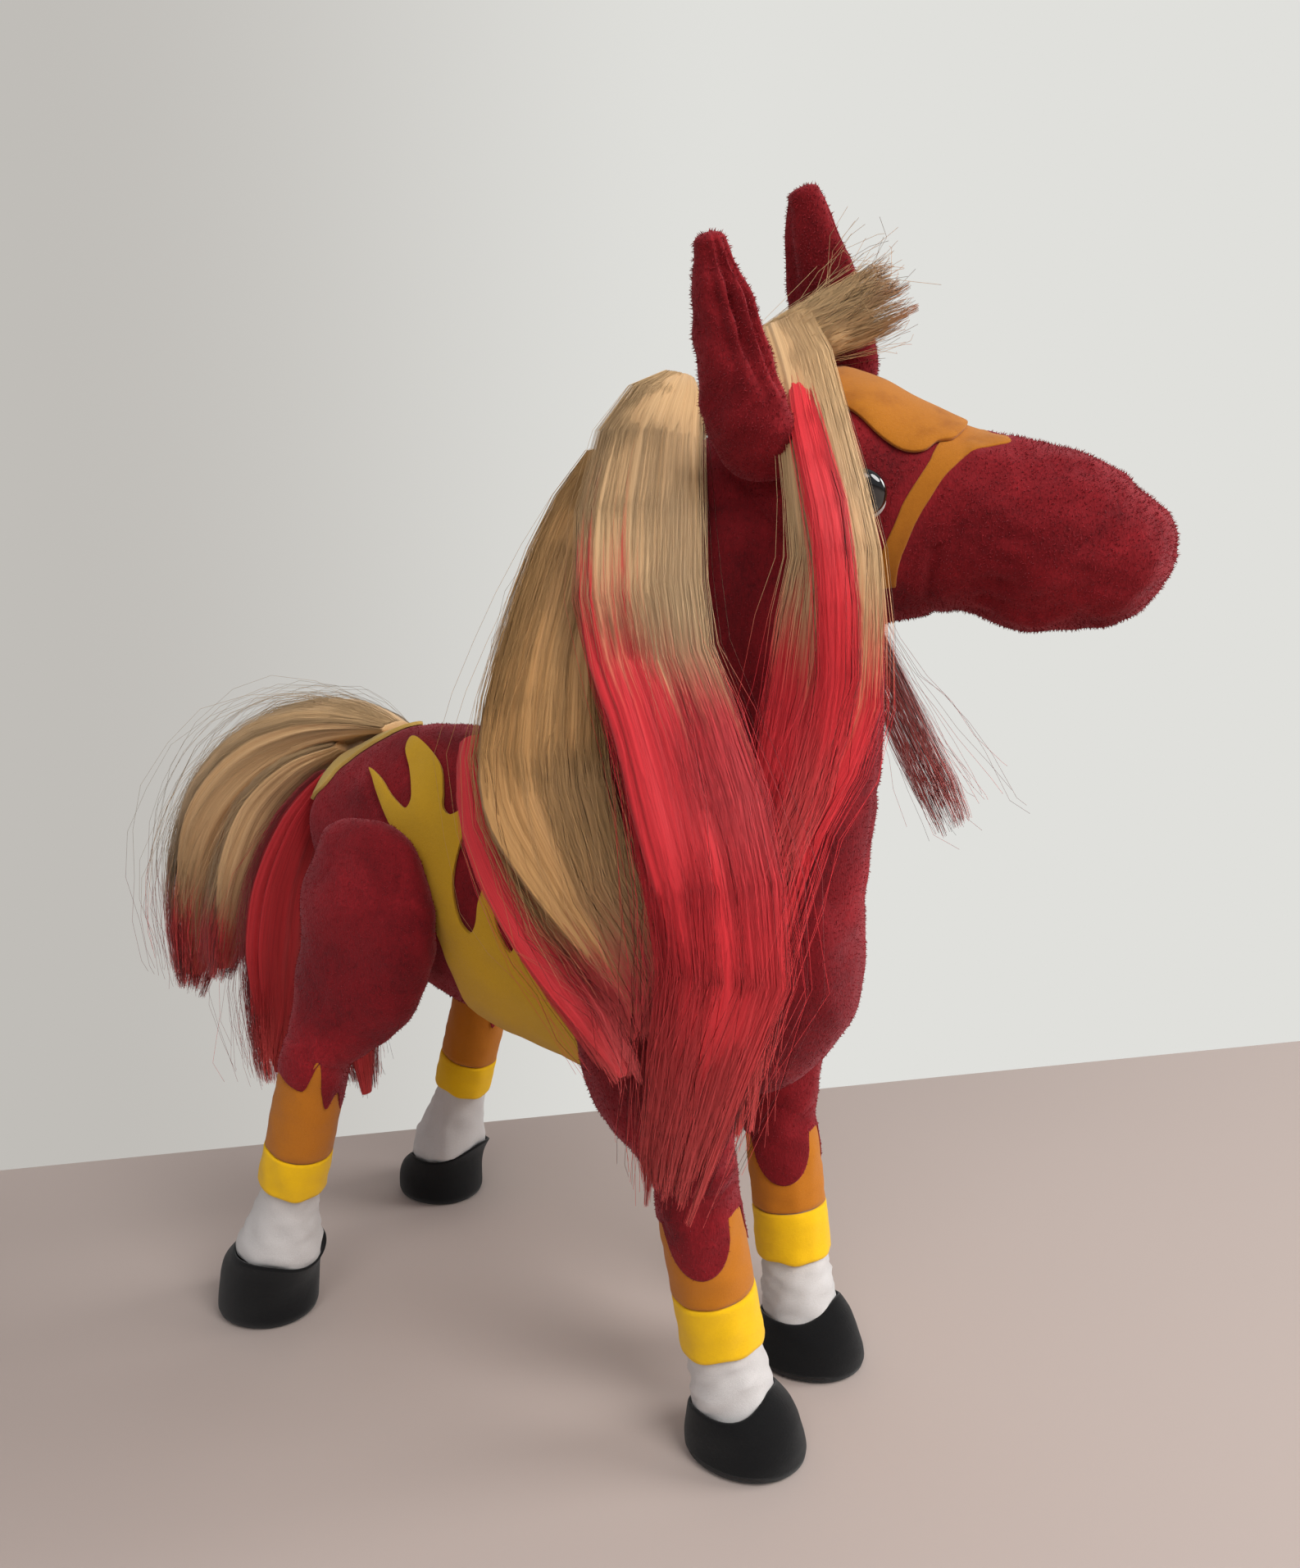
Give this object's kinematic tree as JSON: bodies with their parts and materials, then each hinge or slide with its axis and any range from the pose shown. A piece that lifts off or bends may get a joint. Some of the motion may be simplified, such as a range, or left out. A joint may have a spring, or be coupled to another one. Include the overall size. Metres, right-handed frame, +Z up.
{
  "type": "plush horse",
  "caption": "Posable plush horse on a bendable wire frame, with felt hooves, socks and flame trim, button eyes, and long mane, forelock and tail hair.",
  "frame": {"origin": "on the floor, under the middle of the toy's box", "axes": "+X from tail to nose, +Y to the horse's left, +Z up; the hooves stand on z = 0"},
  "size_m": [0.339, 0.1184, 0.3225],
  "materials": {
    "maroon_plush": "short velvety pile with direction marks",
    "orange_felt": "matte felt",
    "yellow_felt": "matte felt",
    "flame_felt": "matte felt",
    "white_felt": "matte felt",
    "black_felt": "matte felt",
    "blond_hair": "combed doll hair, blond to red along a lock",
    "red_hair": "combed doll hair",
    "eye_gloss": "gloss",
    "galvanised_wire": "satin"
  },
  "bodies": {
    "trunk": {"trunk": "maroon_plush", "spine_wire": "galvanised_wire", "hip_wire": "galvanised_wire", "shoulder_wire": "galvanised_wire", "belly_flames": "flame_felt", "rump_patch": "yellow_felt"},
    "neck": {"neck": "maroon_plush", "neck_wire": "galvanised_wire", "mane_long": "blond_hair", "mane_middle": "blond_hair", "mane_low": "blond_hair", "mane_far": "red_hair", "mane_crest": "blond_hair"},
    "head": {"head": "maroon_plush", "ear_left": "maroon_plush", "ear_right": "maroon_plush", "eye_left": "eye_gloss", "eye_right": "eye_gloss", "eye_white_left": "white_felt", "eye_white_right": "white_felt", "blaze": "orange_felt", "cheek_strap": "orange_felt", "forelock_long": "blond_hair", "forelock_tuft": "blond_hair"},
    "tail": {"tail_dock": "maroon_plush", "tail_wire": "galvanised_wire", "tail_hair_blond": "blond_hair", "tail_hair_red": "red_hair", "tail_hair_red_far": "red_hair"},
    "front_left_upper_leg": {"front_left_shoulder": "maroon_plush", "front_left_upper_wire": "galvanised_wire"},
    "front_left_lower_leg": {"front_left_shank": "white_felt", "front_left_shank_wire": "galvanised_wire", "front_left_orange_sock": "orange_felt", "front_left_yellow_band": "yellow_felt", "front_left_hoof": "black_felt", "front_left_knee_cuff": "maroon_plush"},
    "front_right_upper_leg": {"front_right_shoulder": "maroon_plush", "front_right_upper_wire": "galvanised_wire"},
    "front_right_lower_leg": {"front_right_shank": "white_felt", "front_right_shank_wire": "galvanised_wire", "front_right_orange_sock": "orange_felt", "front_right_yellow_band": "yellow_felt", "front_right_hoof": "black_felt", "front_right_knee_cuff": "maroon_plush"},
    "hind_left_upper_leg": {"hind_left_thigh": "maroon_plush", "hind_left_upper_wire": "galvanised_wire"},
    "hind_left_lower_leg": {"hind_left_shank": "white_felt", "hind_left_shank_wire": "galvanised_wire", "hind_left_orange_sock": "orange_felt", "hind_left_yellow_band": "yellow_felt", "hind_left_hoof": "black_felt"},
    "hind_right_upper_leg": {"hind_right_thigh": "maroon_plush", "hind_right_upper_wire": "galvanised_wire"},
    "hind_right_lower_leg": {"hind_right_shank": "white_felt", "hind_right_shank_wire": "galvanised_wire", "hind_right_orange_sock": "orange_felt", "hind_right_yellow_band": "yellow_felt", "hind_right_hoof": "black_felt"}
  },
  "joints": [
    {"name": "neck_nod", "type": "hinge", "parent": "trunk", "child": "neck", "pos_m": [0.0632, 0.0012, 0.1505], "axis": [0, 1, 0], "range_deg": [-8, 8], "deforming": ["mane_long", "mane_middle", "mane_low", "mane_far", "mane_crest"]},
    {"name": "head_turn", "type": "hinge", "parent": "neck", "child": "head", "pos_m": [0.0747, 0.0012, 0.2589], "axis": [0, 0, 1], "range_deg": [-20, 20], "deforming": ["forelock_long", "forelock_tuft"]},
    {"name": "front_left_shoulder_swing", "type": "hinge", "parent": "trunk", "child": "front_left_upper_leg", "pos_m": [0.0632, 0.0352, 0.138], "axis": [0, 1, 0], "range_deg": [-20, 20]},
    {"name": "front_left_knee_bend", "type": "hinge", "parent": "front_left_upper_leg", "child": "front_left_lower_leg", "pos_m": [0.0702, 0.0282, 0.0711], "axis": [0, 1, 0], "range_deg": [0, 35]},
    {"name": "front_right_shoulder_swing", "type": "hinge", "parent": "trunk", "child": "front_right_upper_leg", "pos_m": [0.0632, -0.0328, 0.138], "axis": [0, 1, 0], "range_deg": [-20, 20]},
    {"name": "front_right_knee_bend", "type": "hinge", "parent": "front_right_upper_leg", "child": "front_right_lower_leg", "pos_m": [0.0702, -0.0258, 0.0711], "axis": [0, 1, 0], "range_deg": [0, 35]},
    {"name": "hind_left_hip_swing", "type": "hinge", "parent": "trunk", "child": "hind_left_upper_leg", "pos_m": [-0.0378, 0.0352, 0.143], "axis": [0, 1, 0], "range_deg": [-20, 20]},
    {"name": "hind_left_hock_bend", "type": "hinge", "parent": "hind_left_upper_leg", "child": "hind_left_lower_leg", "pos_m": [-0.0528, 0.0422, 0.0869], "axis": [0, 1, 0], "range_deg": [-35, 0]},
    {"name": "hind_right_hip_swing", "type": "hinge", "parent": "trunk", "child": "hind_right_upper_leg", "pos_m": [-0.0378, -0.0328, 0.143], "axis": [0, 1, 0], "range_deg": [-20, 20]},
    {"name": "hind_right_hock_bend", "type": "hinge", "parent": "hind_right_upper_leg", "child": "hind_right_lower_leg", "pos_m": [-0.0528, -0.0398, 0.0869], "axis": [0, 1, 0], "range_deg": [-35, 0]},
    {"name": "tail_lift", "type": "hinge", "parent": "trunk", "child": "tail", "pos_m": [-0.0716, 0.0012, 0.1571], "axis": [0, 1, 0], "range_deg": [-15, 15], "deforming": ["tail_hair_blond", "tail_hair_red", "tail_hair_red_far"]}
  ]
}
